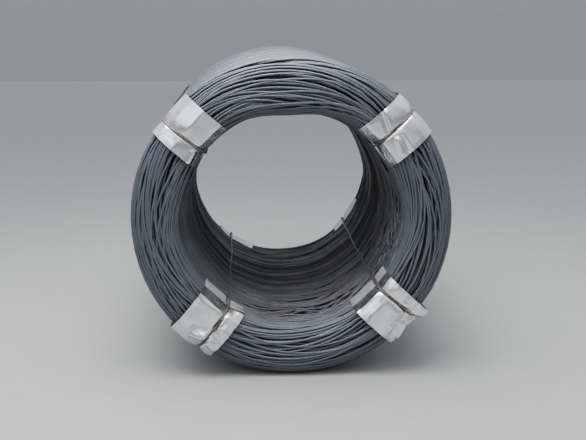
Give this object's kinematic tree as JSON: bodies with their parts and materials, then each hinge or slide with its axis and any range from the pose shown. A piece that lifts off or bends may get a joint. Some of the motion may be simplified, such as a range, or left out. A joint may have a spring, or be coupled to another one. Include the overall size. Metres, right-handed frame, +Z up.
{
  "type": "coil of wire rod",
  "caption": "Compact coil of hot-rolled steel wire rod lying on its rim, tied with wires through the bore over bright sheet-metal sleeves at each end.",
  "frame": {"origin": "on the ground under the middle of the coil, where it lies on its rim", "axes": "+Z up; the coil's axis runs along Y, its pictured end faces -Y; +X is to the right of that end"},
  "size_m": [1.2998, 1.6192, 1.2998],
  "materials": {
    "rod_steel": "matt blue-grey mill scale of hot-rolled rod",
    "tie_wire": "dull black-annealed steel wire",
    "sleeve_sheet": "bright zinc-coated sheet"
  },
  "bodies": {
    "root": {"wire_rod_coil": "rod_steel", "tie_wire_upper_right": "tie_wire", "tie_wire_upper_left": "tie_wire", "tie_wire_lower_left": "tie_wire", "tie_wire_lower_right": "tie_wire", "front_sleeve_upper_right": "sleeve_sheet", "front_sleeve_upper_left": "sleeve_sheet", "front_sleeve_lower_left": "sleeve_sheet", "front_sleeve_lower_right": "sleeve_sheet", "rear_sleeve_upper_right": "sleeve_sheet", "rear_sleeve_upper_left": "sleeve_sheet", "rear_sleeve_lower_left": "sleeve_sheet", "rear_sleeve_lower_right": "sleeve_sheet"}
  },
  "joints": []
}
